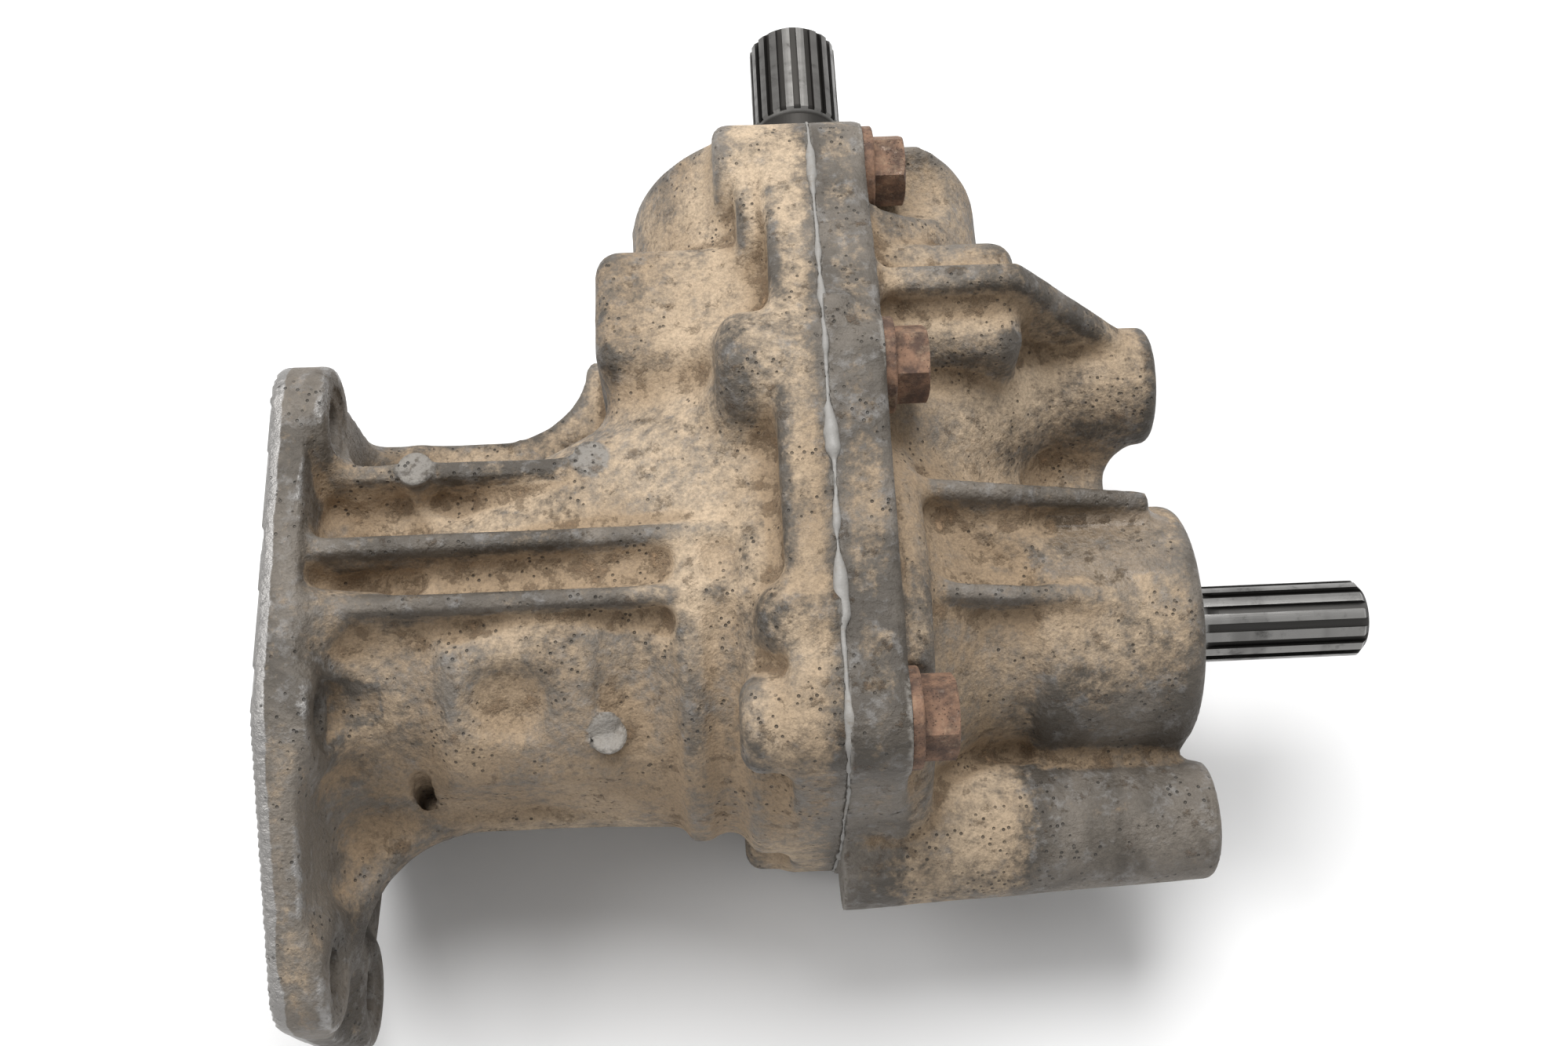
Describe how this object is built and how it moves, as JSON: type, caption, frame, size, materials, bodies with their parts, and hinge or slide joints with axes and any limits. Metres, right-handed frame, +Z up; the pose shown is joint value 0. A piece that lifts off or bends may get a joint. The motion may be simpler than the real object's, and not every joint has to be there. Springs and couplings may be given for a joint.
{
  "type": "transfer case",
  "caption": "Right-angle bevel transfer case with a through shaft, a splined pinion output, a two-piece ribbed casting and a mounting flange.",
  "frame": {"origin": "where the main shaft axis meets the mounting flange face", "axes": "+X along the main shaft towards its splined output, +Y along the pinion shaft towards its splines, +Z up"},
  "size_m": [0.221, 0.2335, 0.1105],
  "materials": {
    "cast_case": "rough as-cast aluminium with dried mud",
    "shaft_steel": "hardened splines, worn bright",
    "gear_steel": "case-hardened ground teeth",
    "bearing_steel": "polished bearing steel",
    "cage_brass": "machined",
    "seal_rubber": "matte nitrile on a steel case",
    "sealant": "cured grey liquid gasket",
    "rusty_fastener": "rusted zinc plate",
    "plain_steel": "plain",
    "plug_washer": "soft annealed",
    "plug_steel": "dulled zinc plate"
  },
  "bodies": {
    "case": {"case_left": "cast_case", "case_right": "cast_case", "sealant_layer": "sealant", "main_left_outer_race": "bearing_steel", "main_right_outer_race": "bearing_steel", "pinion_inner_outer_race": "bearing_steel", "pinion_outer_outer_race": "bearing_steel", "input_oil_seal": "seal_rubber", "output_oil_seal": "seal_rubber", "pinion_oil_seal": "seal_rubber", "case_bolts": "rusty_fastener", "case_bolt_washers": "rusty_fastener", "dowel_pins": "plain_steel", "drain_plug": "plug_steel", "drain_plug_washer": "plug_washer", "fill_plug": "plug_steel", "fill_plug_washer": "plug_washer"},
    "main_rotor": {"main_shaft": "shaft_steel", "ring_gear": "gear_steel", "ring_gear_spacer": "plain_steel", "ring_gear_snap_ring": "plain_steel", "main_left_inner_race": "bearing_steel", "main_right_inner_race": "bearing_steel"},
    "pinion_rotor": {"pinion_shaft": "shaft_steel", "pinion_spacer": "plain_steel", "pinion_snap_ring": "plain_steel", "pinion_inner_inner_race": "bearing_steel", "pinion_outer_inner_race": "bearing_steel"},
    "main_left_ball_set": {"main_left_balls": "bearing_steel", "main_left_cage": "cage_brass"},
    "main_right_ball_set": {"main_right_balls": "bearing_steel", "main_right_cage": "cage_brass"},
    "pinion_inner_ball_set": {"pinion_inner_balls": "bearing_steel", "pinion_inner_cage": "cage_brass"},
    "pinion_outer_ball_set": {"pinion_outer_balls": "bearing_steel", "pinion_outer_cage": "cage_brass"}
  },
  "joints": [
    {"name": "main_spin", "type": "hinge", "parent": "case", "child": "main_rotor", "pos_m": [0.108, 0, 0], "axis": [1, 0, 0], "continuous": true},
    {"name": "pinion_spin", "type": "hinge", "parent": "case", "child": "pinion_rotor", "pos_m": [0.108, 0, 0], "axis": [0, 1, 0], "continuous": true},
    {"name": "main_left_balls_roll", "type": "hinge", "parent": "case", "child": "main_left_ball_set", "pos_m": [0.0735, 0, 0], "axis": [1, 0, 0], "continuous": true},
    {"name": "main_right_balls_roll", "type": "hinge", "parent": "case", "child": "main_right_ball_set", "pos_m": [0.1625, 0, 0], "axis": [1, 0, 0], "continuous": true},
    {"name": "pinion_inner_balls_roll", "type": "hinge", "parent": "case", "child": "pinion_inner_ball_set", "pos_m": [0.108, 0.0495, 0], "axis": [0, 1, 0], "continuous": true},
    {"name": "pinion_outer_balls_roll", "type": "hinge", "parent": "case", "child": "pinion_outer_ball_set", "pos_m": [0.108, 0.0855, 0], "axis": [0, 1, 0], "continuous": true}
  ],
  "couplings": [
    {"joint": "pinion_spin", "follows": "main_spin", "ratio": 2.0769},
    {"joint": "main_left_balls_roll", "follows": "main_spin", "ratio": 0.41529},
    {"joint": "main_right_balls_roll", "follows": "main_spin", "ratio": 0.39677},
    {"joint": "pinion_inner_balls_roll", "follows": "main_spin", "ratio": 0.82807},
    {"joint": "pinion_outer_balls_roll", "follows": "main_spin", "ratio": 0.82807}
  ]
}
